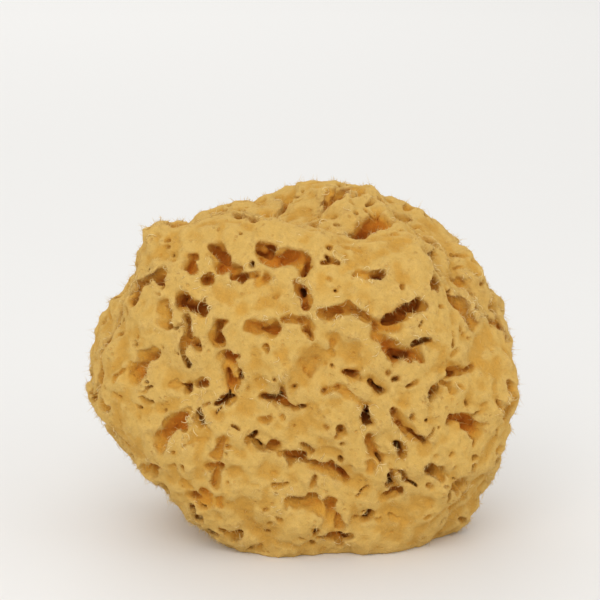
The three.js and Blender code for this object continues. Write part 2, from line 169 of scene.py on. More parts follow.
# Smaller holes, creases and dips of the broad face, in the same form.
FACE_DETAILS = [
    # Top
    (-13.6, 79.2, -13.6, 78.5, 0.6, 0.6, 2),
    (-2.5, 74.5, -2, 73.7, 0.75, 0.6, 2),
    (-8.3, 71, -8, 71, 0.75, 0.75, 2),
    (5.5, 75.4, 5.6, 75.4, 0.55, 0.55, 1.5),
    (6.8, 72.6, 7, 72.6, 0.6, 0.55, 2.2),
    (24.5, 72, 24.7, 72, 0.5, 0.5, 1.2),
    (6.1, 82.5, 6.3, 82.5, 0.6, 0.6, 4),
    (5.3, 80.8, 6.3, 80, 0.5, 0.5, 3),
    (4, 79.3, 8.1, 79.4, 0.75, 0.75, 2.5),
    (12.7, 83.4, 15.9, 82.9, 0.75, 0.75, 2),
    # Upper right
    (22, 54, 22.3, 54, 0.75, 0.75, 6),
    (27.8, 55.7, 29.1, 53.9, 0.9, 0.9, 3),
    (20.3, 51.6, 20.3, 51.6, 0.75, 0.75, 2.2),
    (21.5, 49.8, 23.1, 49.8, 0.55, 0.55, 2.2),
    # Upper left
    (-21.4, 63.5, -20.7, 63.9, 0.45, 0.45, 5),
    (-20.2, 64.5, -20, 64.5, 0.75, 0.75, 2.6),
    (-5.1, 65.2, -1.5, 64.8, 1.1, 1.2, 1.9),
    (-1.2, 64.3, -0.2, 62.4, 1.1, 1, 2.4),
    (-0.8, 61.8, 0.8, 61.1, 0.5, 0.45, 3.2),
    (6.9, 59.9, 8, 58.3, 1, 1, 1.6),
    (-10.3, 58.4, -9.3, 57.2, 0.55, 0.45, 2),
    # Left
    (-17.9, 51.2, -17.6, 50.2, 1, 1, 5.2),
    (-21.8, 41.7, -23.7, 39.8, 0.35, 0.25, 3),
    (-29.9, 58.5, -27.2, 57.8, 0.65, 0.65, 4),
    (-29.5, 64.4, -29.2, 60.3, 0.9, 0.9, 3.2),
    (-28.7, 40.6, -28, 41.2, 0.4, 0.4, 3),
    (-26.8, 42.5, -25.6, 42.9, 0.3, 0.3, 2),
    (-30.9, 38.7, -30.2, 35.9, 0.75, 0.75, 5),
    (-28.3, 34, -25, 34.4, 0.45, 0.5, 2.2),
    (-19, 38, -16.9, 37.1, 0.38, 0.38, 1.4),
    (-14.5, 47.8, -14.6, 46.2, 0.33, 0.33, 2.2),
    # Middle
    (-5.1, 42.8, -2.5, 42.4, 0.65, 0.55, 5),
    (-2.8, 42.4, -2.7, 42.4, 0.6, 0.6, 6.5),
    (4.9, 47.6, 5.1, 47.4, 0.6, 0.6, 3),
    (4.6, 47.1, 10.1, 47.6, 1.1, 1.2, 1.8),
    (8.2, 48.2, 8.8, 48.1, 0.75, 0.75, 2.6),
    (-2.2, 47.9, -1.8, 47.9, 0.5, 0.5, 2),
    (11.3, 46.9, 12.8, 45.3, 0.6, 0.6, 2.6),
    (10.3, 46.6, 14.7, 42.9, 1.1, 1.1, 1.8),
    (9.9, 52.7, 13, 51.6, 1, 1, 2.2),
    (7.4, 53.7, 7.5, 53.7, 0.4, 0.4, 4.5),
    (5.2, 54.3, 5.4, 54.3, 0.5, 0.5, 1.2),
    (1.6, 56.1, 2.3, 56.1, 0.55, 0.55, 2.6),
    (-0.8, 52.7, -0.8, 52.5, 0.5, 0.5, 2.8),
    (17, 38, 17.6, 37.5, 0.75, 0.6, 6),
    (-10.6, 38.8, -9.6, 38.8, 0.85, 0.85, 1.6),
    (-6.3, 39.6, -5.8, 39, 0.55, 0.55, 1.6),
    (-3, 37.1, -2.9, 37.1, 0.38, 0.38, 1.2),
    # Lower right
    (16.3, 26.5, 16.8, 25.9, 1.2, 1.2, 2),
    (27, 41.7, 27.1, 40.7, 0.6, 0.6, 2.6),
    (23.7, 20.3, 24, 20, 0.85, 0.85, 8),
    (24.5, 23.5, 26.5, 22.1, 0.6, 0.6, 3.2),
    (27, 21, 28.9, 19.6, 0.38, 0.38, 4),
    (20.3, 16.5, 20.4, 16.5, 0.4, 0.4, 3),
    (14.9, 12.3, 15, 12.3, 0.33, 0.33, 4.5),
    (12.5, 10.9, 12.9, 10.8, 0.6, 0.6, 2.2),
    (14.9, 19.2, 15.9, 19.9, 0.4, 0.4, 3.2),
    (9.4, 32, 9.5, 32, 0.5, 0.5, 1.6),
    (9.4, 28.4, 9.8, 28.1, 0.5, 0.5, 3.2),
    (7, 26.8, 7.3, 26.8, 0.48, 0.48, 4.4),
    # Lower left and bottom
    (-6.8, 29.1, -5.7, 29.1, 1, 0.75, 3),
    (-0.8, 27.5, 3.2, 27.1, 0.6, 0.4, 4.2),
    (-19.3, 31.6, -19.2, 31.6, 0.4, 0.4, 2),
    (-30.4, 15.7, -28.9, 15.4, 0.48, 0.48, 7.5),
    (-24.2, 18.2, -24.5, 16.6, 0.9, 0.9, 5.2),
    (-30.4, 5.8, -29, 5.2, 1, 1, 10),
    (-33.9, 6.7, -31.7, 4.9, 1.5, 1.5, 10),
    (-12.4, 14.6, -11.8, 14.5, 0.6, 0.6, 1.6),
    (-11.4, 9.6, -10.9, 9.6, 0.6, 0.6, 2.2),
    (-12.4, 7.1, -11.6, 7.4, 0.6, 0.6, 2.2),
    (-8.8, 10.6, -8.3, 10.7, 0.5, 0.5, 1.4),
    (-9.1, 21.5, -5.6, 21.5, 0.6, 0.6, 1.7),
    (2, 22.3, 2, 20.6, 1, 0.85, 1.7),
    (1.3, 17.9, 4.4, 16.1, 0.4, 0.35, 5.4),
    (2.9, 9.3, 2.3, 7.5, 0.6, 0.55, 6.5),
    (1.6, 5.3, 1.9, 4.5, 0.5, 0.5, 6.5),
]

# Lobes of the broad face: x, z, half width, half height and rise in mm.
LOBES = [
    (-2.7, 8.6, 7, 5, 3.4),
    (28.8, 40.5, 4, 7, 2.4),
    (25.4, 61.2, 5, 3.5, 2.2),
    (9, 73.9, 8, 4, 1.6),
    (-19.3, 65.6, 6, 4, 1.4),
    (-8, 53.8, 5, 6, 1.5),
    (8, 46.8, 8, 6, 1.2),
    (-18.4, 35.5, 5, 5, 1.8),
    (3.1, 35.4, 7, 4, 1.4),
    (-14.8, 17.4, 8, 6, 1.5),
    (16.1, 21.8, 6, 6, 1.4),
    (27.2, 26.4, 3.5, 5, 1.6),
]

# Places of the broad face where loose fibres curl off the rims: x and z in mm.
CURL_PLACES = [
    (-25.9, 74.7),
    (-26.4, 71.5),
    (-3.1, 73.2),
    (-0.3, 69.2),
    (9.5, 66.1),
    (12, 64.7),
    (-5.6, 63.4),
    (18.6, 58.1),
    (-22.5, 45.7),
    (-25, 44.1),
    (-8.7, 45.4),
    (14, 41.1),
    (14.5, 39),
    (-29, 39.9),
    (-26, 38.5),
    (22.6, 32.8),
    (24.1, 30.3),
    (-6.4, 17.9),
    (20.8, 23.4),
    (-29.7, 64.4),
]


def chance(n: float) -> float:
    """Return a repeatable number from 0 to 1 for a whole number."""
    s = math.sin(n * 12.9898 + 4.1414) * 43758.5453
    return s - math.floor(s)


def within(ends: Span, share: float | Array) -> float | Array:
    """Return the value at a share of the way between two ends."""
    return ends[0] + (ends[1] - ends[0]) * share


def smoothstep(x: Array, low: float, high: float) -> Array:
    """Return 0 below low, 1 above high and a smooth rise between."""
    t = np.clip((x - low) / (high - low), 0, 1)
    return t * t * (3 - 2 * t)


def unit(v: Array) -> Array:
    """Return the vectors at length 1."""
    return v / np.maximum(np.linalg.norm(v, axis=-1, keepdims=True), 1e-9)


def smooth_max(a: Array, b: Array, blend: float) -> Array:
    """Return the larger of two fields, with the crease between them rounded over a distance."""
    near = np.maximum(blend - np.abs(a - b), 0) / blend
    return np.maximum(a, b) + near * near * blend * 0.25


@dataclass
class Block:
    """The rounded block with its swells and lobes, in mm, centred over the solid's own base."""

    width: float = 106
    depth: float = 68
    height: float = 90
    centre_height: float = 41
    outline_fullness: float = 2.35
    face_flatness: float = 3.3
    drawn_in: float = 0.2
    drawn_in_below: float = 34
    swells: tuple[Span, ...] = ((58, 4.6), (31, 3), (15, 1.3), (8, 0.5))
    pressed: float = 0.65
    pressed_between: Span = (0.2, 0.42)
    measured_at: tuple[int, int] = (240, 120)

    def __post_init__(self) -> None:
        """Work out the move that centres the block over the solid's box."""
        self.move = np.array([0, 0, self.centre_height])
        points = self.outline(*self.measured_at).reshape(-1, 3)
        middle = (points.min(0) + points.max(0)) / 2
        target = np.array(CAD_BOX).mean(0) / MM
        self.move[:2] = (target - middle)[:2]

    def smooth(self, direction: Array) -> Array:
        """Return the plain block's points in directions from its centre."""
        half = np.array([self.width / 2, self.depth / 2, self.height - self.centre_height])
        x, y, z = np.moveaxis(np.abs(direction) / half, -1, 0)
        outline = x**self.outline_fullness + z**self.outline_fullness
        whole = outline ** (self.face_flatness / self.outline_fullness) + y**self.face_flatness
        return direction * (whole ** (-1 / self.face_flatness))[..., None]

    def wave(self, p: Array, spacing: float) -> Array:
        """Return a waving field from -1 to 1 with its crests a given distance apart."""
        k = 2 * math.pi / spacing
        x, y, z = np.moveaxis(p, -1, 0)
        a = np.sin(k * (x + 0.6 * y) + 1.7 * np.sin(k * 0.5 * z + 1))
        b = np.sin(k * (z - 0.5 * y) + 1.5 * np.sin(k * 0.6 * x + 4))
        c = np.sin(k * (y + 0.4 * x) + 1.3 * np.sin(k * 0.5 * z + 2))
        return (a + b + c) / 3

    def swell_rise(self, p: Array) -> Array:
        """Return how far the swells lift the block at points of it, less on the pressed face."""
        low, high = self.pressed_between
        flattened = self.pressed * smoothstep(-p[..., 1], low * self.depth, high * self.depth)
        return (1 - flattened) * sum(height * self.wave(p, spacing) for spacing, height in self.swells)

    def lobe_rise(self, p: Array) -> Array:
        """Return how far the lobes lift the broad face at points of it."""
        rise = np.zeros(p.shape[:-1])
        for x, z, half_width, half_height, height in LOBES:
            u = (p[..., 0] - x) / half_width
            v = (p[..., 2] + self.centre_height - z) / half_height
            rise += height * np.exp(-(u * u + v * v))
        return rise

    def surface(self, direction: Array) -> Array:
        """Return the block's surface, before any furrow, in directions from its centre.

        Args:
            direction: unit vectors, along the last axis.

        Returns:
            The points in mm, in the frame of the whole sponge.
        """
        flat = self.smooth(direction)
        moved = flat + direction * self.swell_rise(flat)[..., None]
        moved[..., 1] -= np.where(flat[..., 1] < 0, self.lobe_rise(flat), 0)
        low = smoothstep(self.drawn_in_below - self.centre_height - moved[..., 2], 0, self.drawn_in_below)
        moved[..., 0] *= np.where(moved[..., 0] < 0, 1 - self.drawn_in * low, 1)
        return moved + self.move

    def spread(self, direction: Array) -> Array:
        """Return directions of a ball as ones that spread evenly over the block."""
        return unit(direction * np.array([self.width, self.depth, self.height]))

    def outline(self, columns: int, rows: int) -> Array:
        """Return the surface as rows of points round its upright axis."""
        turn = np.linspace(0, 2 * math.pi, columns, endpoint=False)[None, :]
        tilt = np.linspace(0, math.pi, rows)[:, None]
        x = np.sin(tilt) * np.cos(turn)
        y = np.sin(tilt) * np.sin(turn)
        z = np.cos(tilt) + 0 * turn
        return self.surface(self.spread(np.stack([x, y, z], axis=-1)))

    def face_direction(self, x: float, z: float) -> Array:
        """Return the direction of the plain broad face's point at a distance right and a height."""
        half_height = self.height - self.centre_height
        across = (abs(x) / (self.width / 2)) ** self.outline_fullness
        up = (abs(z - self.centre_height) / half_height) ** self.outline_fullness
        share = 1 - min(across + up, 1) ** (self.face_flatness / self.outline_fullness)
        y = -self.depth / 2 * share ** (1 / self.face_flatness)
        return unit(np.array([x, y, z - self.centre_height]))


@dataclass(frozen=True)
class Furrow:
    """A furrow with round ends, cut into the body along a direction.

    Sizes are in mm. The ends lie on the uncut surface, and the depth is measured from there.
    The shallower a furrow is, the more it is a bowl: its rim is rounder, and its floor curves up.
    """

    start: Array
    end: Array
    inward: Array
    start_half_width: float
    end_half_width: float
    depth: float
    raggedness: float = 1.0
    narrowing: float = 0.3
    rim: float = 0.22
    rim_reach: float = 0.7
    bowl_rim: float = 3
    bowl_depths: Span = (6, 3)
    bowl_curve: float = 0.7
    floor_curve: float = 0.35
    least_half_width: float = 0.3
    full_lumps_depth: float = 6
    corner: float = 0.5
    rounding: Span = (0.8, 1.5)
    clear_above: float = 4.0
    margin: float = 2.5

    def bowl(self) -> float:
        """Return how much it is a shallow bowl, from 0 for a steep hole to 1 for a soft dip."""
        steep, soft = self.bowl_depths
        return min(max((self.depth - steep) / (soft - steep), 0), 1)

    def reach(self) -> tuple[Array, Array]:
        """Return the lowest and highest corner of the space that the furrow can touch."""
        margin = max(self.start_half_width, self.end_half_width) + self.margin
        ends = np.array([self.start, self.end])
        corners = np.concatenate([ends + self.inward * self.depth, ends - self.inward * self.clear_above])
        return corners.min(0) - margin, corners.max(0) + margin

    def distance(self, p: Array, floor_rise: Array) -> Array:
        """Return the rough signed distance of points to the furrow, negative inside it.

        Args:
            p: the points in mm.
            floor_rise: how far the floor is lifted at each, in mm, in a furrow of some depth.

        Returns:
            The distances in mm.
        """
        away = p - self.start.astype(np.float32)
        inward = self.inward.astype(np.float32)
        span = self.end - self.start
        span_in = float(span @ self.inward)
        axis = (span - span_in * self.inward).astype(np.float32)
        down = away @ inward
        flat = away - down[..., None] * inward
        t = np.clip(flat @ axis / max(float(axis @ axis), 1e-6), 0, 1)
        beside = np.linalg.norm(flat - t[..., None] * axis, axis=-1)
        down = down - t * span_in
        half_width = self.start_half_width + t * (self.end_half_width - self.start_half_width)
        share = np.clip(down / self.depth, 0, 1)
        bowl = self.bowl()
        rim = self.rim * (1 + self.bowl_rim * bowl)
        flare = rim * np.exp(-np.abs(down) / (self.rim_reach + bowl))
        wall = half_width * (1 - self.narrowing * share) + flare
        width = np.maximum(half_width, self.least_half_width)
        rise = self.floor_curve / width + self.bowl_curve * bowl * self.depth / width**2
        lifted = floor_rise * min(self.depth / self.full_lumps_depth, 1)
        floor = (down - self.depth + lifted + rise * beside * beside) / (1 + bowl)
        pit = smooth_max(beside - wall, floor, self.corner)
        return smooth_max(pit, -down - self.clear_above, self.corner)

    def cut(self, values: Array, p: Array, floor_rise: Array) -> Array:
        """Return a body's field with the furrow cut away and its rim rounded.

        Args:
            values: the body's field.
            p: the points in mm that it is known at.
            floor_rise: how far the furrow's floor is lifted at each, in mm.

        Returns:
            The field of what is left.
        """
        return smooth_max(values, -self.distance(p, floor_rise), within(self.rounding, self.bowl()))


@dataclass
class Lattice:
    """A regular grid of points over the whole sponge, in mm."""

    low: Array
    step: float
    shape: tuple[int, int, int]

    @classmethod
    def around(cls, points: Array, margin: float, step: float) -> "Lattice":
        """Return the grid round some points, its own points at whole multiples of the step."""
        low = np.floor((points.min(0) - margin) / step) * step
        shape = tuple(int(n) for n in np.ceil((points.max(0) + margin - low) / step) + 1)
        return cls(low, step, shape)

    def first(self) -> tuple[int, int, int]:
        """Return the low corner in whole steps."""
        return tuple(int(n) for n in np.round(self.low / self.step))

    def axes(self, part: tuple[slice, slice, slice]) -> list[Array]:
        """Return the three coordinates of a part of the grid, each along its own axis."""
        return [
            (self.low[i] + self.step * np.arange(self.shape[i])[part[i]]).astype(np.float32)
            for i in range(3)
        ]

    def part(self, low: Array, high: Array) -> tuple[slice, slice, slice] | None:
        """Return the slices of the grid inside a box, or None outside the grid."""
        first = np.maximum(np.floor((low - self.low) / self.step).astype(int), 0)
        last = np.minimum(np.ceil((high - self.low) / self.step).astype(int) + 1, self.shape)
        if np.any(last <= first):
            return None
        return tuple(slice(int(a), int(b)) for a, b in zip(first, last))

    def noise(self, spacing: float, rng: Random) -> Array:
        """Return a soft random field over the grid with swells of a given spacing.

        Args:
            spacing: the distance between the field's random knots, in mm.
            rng: the seeded source of the knots.

        Returns:
            The field, with a mean of 0 and a spread of about 1.
        """
        knots = [int(n * self.step / spacing) + 5 for n in self.shape]
        values = rng.standard_normal(knots).astype(np.float32)
        for axis in range(3):
            weights = spline_weights(self.shape[axis], knots[axis], self.step / spacing)
            values = np.tensordot(values, weights, axes=(0, 1))
        return values / values.std()

    def filled(self, points: Array, quads: Array, band: float) -> Array:
        """Return the signed distance to a closed surface, held beyond a band on either side."""
        grid = openvdb.FloatGrid.createLevelSetFromPolygons(
            points.astype(np.float32),
            quads=quads.astype(np.uint32),
            transform=openvdb.createLinearTransform(voxelSize=self.step),
            halfWidth=band / self.step,
        )
        values = np.zeros(self.shape, np.float32)
        grid.copyToArray(values, ijk=self.first())
        return values

    def outlined(self, values: Array) -> tuple[Array, Array]:
        """Return the surface where a field is zero, as points in mm and quads."""
        grid = openvdb.FloatGrid(float(values.max()))
        grid.transform = openvdb.createLinearTransform(voxelSize=self.step)
        grid.copyFromArray(values, ijk=self.first())
        points, _, quads = grid.convertToPolygons(0.0, 0.0)
        return points, quads.astype(np.int64)

    def sample(self, values: Array, points: Array) -> Array:
        """Return a field's values at points in mm, blended from the grid points around each."""
        place = (points - self.low) / self.step
        corner = np.clip(np.floor(place).astype(int), 0, np.array(self.shape) - 2)
        share = np.clip(place - corner, 0, 1)
        total = np.zeros(len(points))
        for offset in np.ndindex(2, 2, 2):
            weight = np.prod(np.where(offset, share, 1 - share), axis=1)
            i, j, k = (corner + offset).T
            total += weight * values[i, j, k]
        return total


def spline_weights(count: int, knots: int, step: float) -> Array:
    """Return how much each knot of a smooth curve counts at each of a row of places.

    Args:
        count: how many places.
        knots: how many knots.
        step: the distance between places, in knot spacings.

    Returns:
        A matrix with a row for each place, of smooth bell-shaped weights.
    """
    place = 1.5 + step * np.arange(count)
    away = np.abs(place[:, None] - np.arange(knots)[None, :])
    near = 2 / 3 - away**2 + away**3 / 2
    far = np.maximum(2 - away, 0) ** 3 / 6
    return np.where(away < 1, near, far).astype(np.float32)


def blurred(values: Array, cells: int) -> Array:
    """Return a field averaged over a cube that reaches some cells each way."""
    width = 2 * cells + 1
    for axis in range(3):
        pad = [(0, 0)] * 3
        pad[axis] = (cells + 1, cells)
        total = np.cumsum(np.pad(values, pad, mode="edge"), axis=axis, dtype=np.float64)
        ahead = [slice(None)] * 3
        behind = [slice(None)] * 3
        ahead[axis] = slice(width, None)
        behind[axis] = slice(None, -width)
        values = ((total[tuple(ahead)] - total[tuple(behind)]) / width).astype(np.float32)
    return values


@dataclass
class Surface:
    """A fine surface as arrays: places in mm, triangles, and numbers at each place.

    The marks are named numbers. "depth" is how far a place lies under the uncut block, in mm.
    "hollow" and "dip" run from 0 on a crest to 1 in a hollow, with 0.5 on the flat: the first
    reads forms of a millimetre or two, and the second forms of several.
    """

    points: Array
    triangles: Array
    normals: Array
    marks: dict[str, Array]

    def favoured(self, front: float, above: float) -> Array:
        """Return a weight for each point: a factor on the front, 1 elsewhere, 0 near the base.

        Args:
            front: the factor.
            above: the height in mm that the weight begins at.

        Returns:
            The weights.
        """
        return np.where(self.points[:, 1] < FRONT_Y, front, 1.0) * (self.points[:, 2] > above)

    def at(self, chosen: Array) -> "Roots":
        """Return roots at some of the surface's own points."""
        return Roots(self.points[chosen], self.normals[chosen], self.marks["hollow"][chosen])

    def strewn(self, count: int, liking: Array, rng: Random) -> "Roots":
        """Return random places, likelier where the liking is high.

        Args:
            count: how many places.
            liking: a weight for each point of the surface.
            rng: the seeded source.

        Returns:
            The places, with the surface's own direction and numbers at each.
        """
        area = np.linalg.norm(facing(self.points, self.triangles), axis=1)
        weight = area * liking[self.triangles].mean(1)
        chosen = rng.choice(len(self.triangles), size=count, p=weight / weight.sum())
        share = rng.random((count, 2))
        share = np.where(share.sum(1, keepdims=True) > 1, 1 - share, share)
        mix = np.column_stack([1 - share.sum(1), share])
        corners = self.at(self.triangles[chosen])
        return Roots(
            np.einsum("ij,ijk->ik", mix, corners.places),
            unit(np.einsum("ij,ijk->ik", mix, corners.outward)),
            np.einsum("ij,ij->i", mix, corners.hollow),
        )

    def object(self, name: str, chosen: Array) -> bpy.types.Object:
        """Return some of the triangles as a mesh object that keeps the whole surface's shading.

        Args:
            name: the object's name.
            chosen: whether each triangle belongs to the object.

        Returns:
            The object, with the marks stored at its points.
        """
        used, renumbered = np.unique(self.triangles[chosen], return_inverse=True)
        made = mesh_object(name, self.points[used] * MM, renumbered.reshape(-1, 3))
        made.data.normals_split_custom_set_from_vertices(self.normals[used])
        for label, values in self.marks.items():
            attribute = made.data.attributes.new(label, "FLOAT", "POINT")
            attribute.data.foreach_set("value", values[used].astype(np.float32))
        return made


@dataclass
class Roots:
    """Where fibres stand: places in mm, outward directions, and the surface's hollow mark there."""

    places: Array
    outward: Array
    hollow: Array


def mesh_object(name: str, points: Array, faces: Array) -> bpy.types.Object:
    """Return a new smooth-shaded mesh object.

    Args:
        name: the object's name.
        points: vertex places in metres, in rows.
        faces: vertex numbers, a face to each row.

    Returns:
        The object, linked to the scene.
    """
    mesh = bpy.data.meshes.new(name)
    mesh.vertices.add(len(points))
    mesh.vertices.foreach_set("co", points.astype(np.float32).ravel())
    mesh.loops.add(faces.size)
    mesh.loops.foreach_set("vertex_index", faces.astype(np.int32).ravel())
    mesh.polygons.add(len(faces))
    mesh.polygons.foreach_set("loop_start", np.arange(0, faces.size, faces.shape[1], dtype=np.int32))
    mesh.polygons.foreach_set("use_smooth", np.ones(len(faces), bool))
    mesh.update(calc_edges=True)
    made = bpy.data.objects.new(name, mesh)
    bpy.context.scene.collection.objects.link(made)
    return made


def largest_island(count: int, quads: Array) -> Array:
    """Return which quads belong to the largest connected surface.

    Args:
        count: how many points the quads join.
        quads: point numbers, a quad to each row.

    Returns:
        True for each quad that is kept.
    """
    label = np.arange(count)
    a = quads.ravel()
    b = np.roll(quads, -1, axis=1).ravel()
    settled = False
    while not settled:
        before = label.copy()
        lowest = np.minimum(label[a], label[b])
        np.minimum.at(label, a, lowest)
        np.minimum.at(label, b, lowest)
        label = label[label]
        settled = np.array_equal(before, label)
    of_quad = label[quads[:, 0]]
    names, sizes = np.unique(of_quad, return_counts=True)
    return of_quad == names[np.argmax(sizes)]


def facing(points: Array, triangles: Array) -> Array:
    """Return each triangle's outward direction, at a length of twice its area."""
    a, b, c = (points[triangles[:, i]] for i in range(3))
    return np.cross(b - a, c - a)


def point_normals(points: Array, triangles: Array) -> Array:
    """Return the outward direction at each point, from the triangles round it."""
    outward = facing(points, triangles)
    total = np.stack(
        [
            sum(np.bincount(triangles[:, corner], outward[:, axis], len(points)) for corner in range(3))
            for axis in range(3)
        ],
        axis=1,
    )
    return unit(total)


@dataclass
class Carver:
    """Cuts the furrows and pores into the block, as a field on a grid, and gives its surface.

    The field is in mm, negative inside the sponge and positive outside.
    """

    block: Block = field(default_factory=Block)
    step: float = 0.42
    most_triangles: int = 530000
    band: float = 3.2
    fine_depth: float = 2.4
    margin: float = 4.5
    seed: int = 7
    lift: float = 0.12
    other_furrows: int = 130
    other_bends: int = 2
    other_half_width: Span = (1.3, 3.6)
    other_step: Span = (2, 8)
    other_depth: Span = (3, 9)
    other_turn: float = 0.9
    other_taper: Span = (0.6, 1.05)
    clear_of_base: float = 5
    listed_raggedness: float = 0.85
    listed_squared: float = 0.65
    other_raggedness: float = 0.9
    square_inward: tuple[float, float, float] = (0, 1, -0.1)
    listed_half_width: float = 31
    listed_heights: Span = (6, 87)
    listed_front: float = 13.6
    small_pores: int = 1500
    small_half_width: Span = (0.3, 0.95)
    small_taper: float = 0.8
    small_depth: Span = (1.0, 4.5)
    small_length: float = 0.025
    small_clear_of_base: float = 1.5
    small_kept_if_listed: float = 0.2
    small_scale_if_listed: float = 0.55
    wander: tuple[Span, ...] = ((5.5, 0.45), (2.2, 0.4), (1.1, 0.17))
    floor_rise: Span = (2.2, 1.1)
    lumps: tuple[Span, ...] = ((6, 0.42), (3, 0.36))
    grain: tuple[Span, ...] = ((1.6, 0.19), (0.85, 0.085))
    block_points: tuple[int, int] = (720, 360)
    hollows: tuple[tuple[str, float, float], ...] = (("hollow", 1.3, 2.4), ("dip", 3.4, 2.0))
    coarse_step: float = 1.0
    coarse_band: float = 14.0
    coarse_margin: float = 2

    def furrow(
        self,
        start: Array,
        end: Array,
        sizes: tuple[float, float, float],
        raggedness: float = 1.0,
        squared: float = 0.0,
    ) -> Furrow:
        """Return the furrow between two directions from the centre.

        It runs in toward the centre and a little upward, so its upper rim overhangs.

        Args:
            start: the direction of one end.
            end: the direction of the other end.
            sizes: the half width at each end, and the depth, in mm.
            raggedness: how much of the wandering it follows.
            squared: how far it is turned to run in square to the broad face.

        Returns:
            The furrow on the block's surface.
        """
        ends = self.block.surface(np.array([start, end]))
        outward = unit(start + end)
        inward = unit(np.array([0, 0, self.lift * (1 - abs(outward[2]))]) - outward)
        inward = unit((1 - squared) * inward + squared * np.array(self.square_inward))
        return Furrow(ends[0], ends[1], inward, *sizes, raggedness=raggedness)

    def listed(self) -> list[Furrow]:
        """Return the furrows and the smaller holes that are listed for the broad face."""
        made = []
        for x1, z1, x2, z2, half_width_a, half_width_b, depth in FACE_FURROWS + FACE_DETAILS:
            start = self.block.face_direction(x1, z1)
            end = self.block.face_direction(x2, z2)
            sizes = (half_width_a, half_width_b, depth)
            made.append(self.furrow(start, end, sizes, self.listed_raggedness, self.listed_squared))
        return made

    def is_listed(self, p: Array) -> bool:
        """Return whether a point of the plain block lies on the part that the lists cover."""
        z = p[2] + self.block.centre_height
        low, high = self.listed_heights
        return p[1] < -self.listed_front and abs(p[0]) < self.listed_half_width and low < z < high

    def others(self) -> list[Furrow]:
        """Return the bent furrows that are spread evenly over the rest, as the solid has them."""
        made = []
        for n in range(self.other_furrows):
            height = 1 - 2 * (n + 0.5) / self.other_furrows
            ring = math.sqrt(1 - height * height)
            turn = n * GOLDEN_ANGLE
            outward = self.block.spread(np.array([ring * math.cos(turn), ring * math.sin(turn), height]))
            size = chance(3 * n + 1)
            depth = within(self.other_depth, size)
            heading = 2 * math.pi * chance(7 * n + 5)
            half_width = within(self.other_half_width, size**3)
            start = self.block.smooth(outward)
            for bend in range(self.other_bends):
                heading += within((-self.other_turn, self.other_turn), chance(11 * n + bend))
                step = within(self.other_step, chance(13 * n + bend))
                radial = unit(start)
                east = unit(np.array([-radial[1], radial[0], 0]))
                north = np.cross(radial, east)
                ahead = start + step * (east * math.cos(heading) + north * math.sin(heading))
                end = self.block.smooth(unit(ahead))
                next_half_width = half_width * within(self.other_taper, chance(17 * n + bend))
                low = min(start[2], end[2]) + self.block.centre_height - half_width
                if low > self.clear_of_base and not self.is_listed(start) and not self.is_listed(end):
                    sizes = (half_width, next_half_width, depth)
                    made.append(self.furrow(unit(start), unit(end), sizes, self.other_raggedness))
                start, half_width = end, next_half_width
        return made

    def small(self, rng: Random) -> list[Furrow]:
        """Return the small pores that are strewn all round, few and fine where the lists reach."""
        made = []
        for _ in range(self.small_pores):
            direction = self.block.spread(unit(rng.standard_normal(3)))
            size, keep, deep = rng.random(3)
            along = self.small_length * rng.random() * rng.standard_normal(3)
            place = self.block.smooth(direction)
            listed = self.is_listed(place)
            above_base = place[2] + self.block.centre_height >= self.small_clear_of_base
            if above_base and (not listed or keep <= self.small_kept_if_listed):
                scale = self.small_scale_if_listed if listed else 1
                half_width = scale * within(self.small_half_width, size**2)
                depth = scale * within(self.small_depth, deep)
                sizes = (half_width, self.small_taper * half_width, depth)
                made.append(self.furrow(direction, unit(direction + along), sizes))
        return made

    def carve(self) -> Surface:
        """Return the carved sponge's surface."""
        rng = np.random.default_rng(self.seed)
        points, quads = wrapped(self.block.outline(*self.block_points))
        lattice = Lattice.around(points, self.margin, self.step)
        values = lattice.filled(points, quads, self.band)
        for spacing, size in self.lumps:
            values += size * lattice.noise(spacing, rng)
        uncut = values.copy()
        shift = [sum(size * lattice.noise(spacing, rng) for spacing, size in self.wander) for _ in range(3)]
        floor_rise = self.floor_rise[1] * lattice.noise(self.floor_rise[0], rng)
        furrows = self.others() + self.listed() + self.small(rng)
        for furrow in furrows:
            part = lattice.part(*furrow.reach())
            if part is not None:
                places = np.meshgrid(*lattice.axes(part), indexing="ij")
                moves = [furrow.raggedness * move[part] for move in shift]
                warped = np.stack([place + move for place, move in zip(places, moves)], axis=-1)
                values[part] = furrow.cut(values[part], warped, floor_rise[part])
        for spacing, size in self.grain:
            values += size * lattice.noise(spacing, rng)
        heights = lattice.axes((slice(None), slice(None), slice(None)))[2]
        values = np.maximum(values, -heights[None, None, :])
        LOG.info("carved %d furrows and pores into a grid of %s", len(furrows), lattice.shape)
        places, triangles = self.thinned(*lattice.outlined(values))
        shallow = np.clip(-lattice.sample(uncut, places), 0, self.fine_depth)
        beyond = np.maximum(self.depth_under(points, quads, places) - self.fine_depth, 0)
        marks = {"depth": shallow + beyond}
        for label, reach, span in self.hollows:
            level = blurred(np.clip(values, -self.band, self.band), round(reach / self.step))
            marks[label] = np.clip(0.5 - lattice.sample(level, places) / span, 0, 1)
        return Surface(places, triangles, point_normals(places, triangles), marks)

